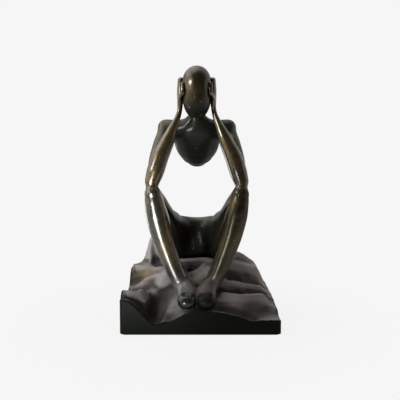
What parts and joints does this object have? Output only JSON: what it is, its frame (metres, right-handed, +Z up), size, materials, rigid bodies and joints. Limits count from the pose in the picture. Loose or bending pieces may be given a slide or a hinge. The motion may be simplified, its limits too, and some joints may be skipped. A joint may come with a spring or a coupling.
{
  "type": "pensive figure sculpture",
  "caption": "Patinated bronze ornament of a seated, faceless figure with elbows on knees and hands at its head, on a hollow rock base with a felt-covered underside.",
  "frame": {"origin": "on the table, under the middle of the base", "axes": "+Z up, -Y the way the figure faces, +X towards the figure's own left"},
  "size_m": [0.16, 0.155, 0.2702],
  "materials": {
    "figure_bronze": "cast bronze with a glossy dark olive-brown patina, waxed, rubbed lighter on the high places",
    "rock_bronze": "cast bronze with a satin brown patina, darker and smoother on the cut sides",
    "dowel_brass": "plain turned rod",
    "fastener_steel": "zinc plated",
    "plate_board": "raw thin board",
    "felt": "dark green pressed felt"
  },
  "bodies": {
    "root": {"rock_base": "rock_bronze", "hips_and_thighs": "figure_bronze", "torso": "figure_bronze", "head": "figure_bronze", "right_upper_arm": "figure_bronze", "left_upper_arm": "figure_bronze", "right_forearm": "figure_bronze", "left_forearm": "figure_bronze", "right_lower_leg": "figure_bronze", "left_lower_leg": "figure_bronze", "neck_dowel": "dowel_brass", "right_shoulder_dowel": "dowel_brass", "left_shoulder_dowel": "dowel_brass", "right_elbow_dowel": "dowel_brass", "left_elbow_dowel": "dowel_brass", "right_knee_dowel": "dowel_brass", "left_knee_dowel": "dowel_brass", "right_elbow_rest_dowel": "dowel_brass", "left_elbow_rest_dowel": "dowel_brass", "right_temple_pin": "dowel_brass", "left_temple_pin": "dowel_brass", "right_foot_stud": "fastener_steel", "right_foot_washer": "fastener_steel", "right_foot_nut": "fastener_steel", "left_foot_stud": "fastener_steel", "left_foot_washer": "fastener_steel", "left_foot_nut": "fastener_steel", "seat_stud": "fastener_steel", "seat_washer": "fastener_steel", "seat_nut": "fastener_steel", "plate_screw_1": "fastener_steel", "plate_screw_2": "fastener_steel", "plate_screw_3": "fastener_steel", "plate_screw_4": "fastener_steel", "base_plate": "plate_board", "base_felt": "felt"}
  },
  "joints": []
}
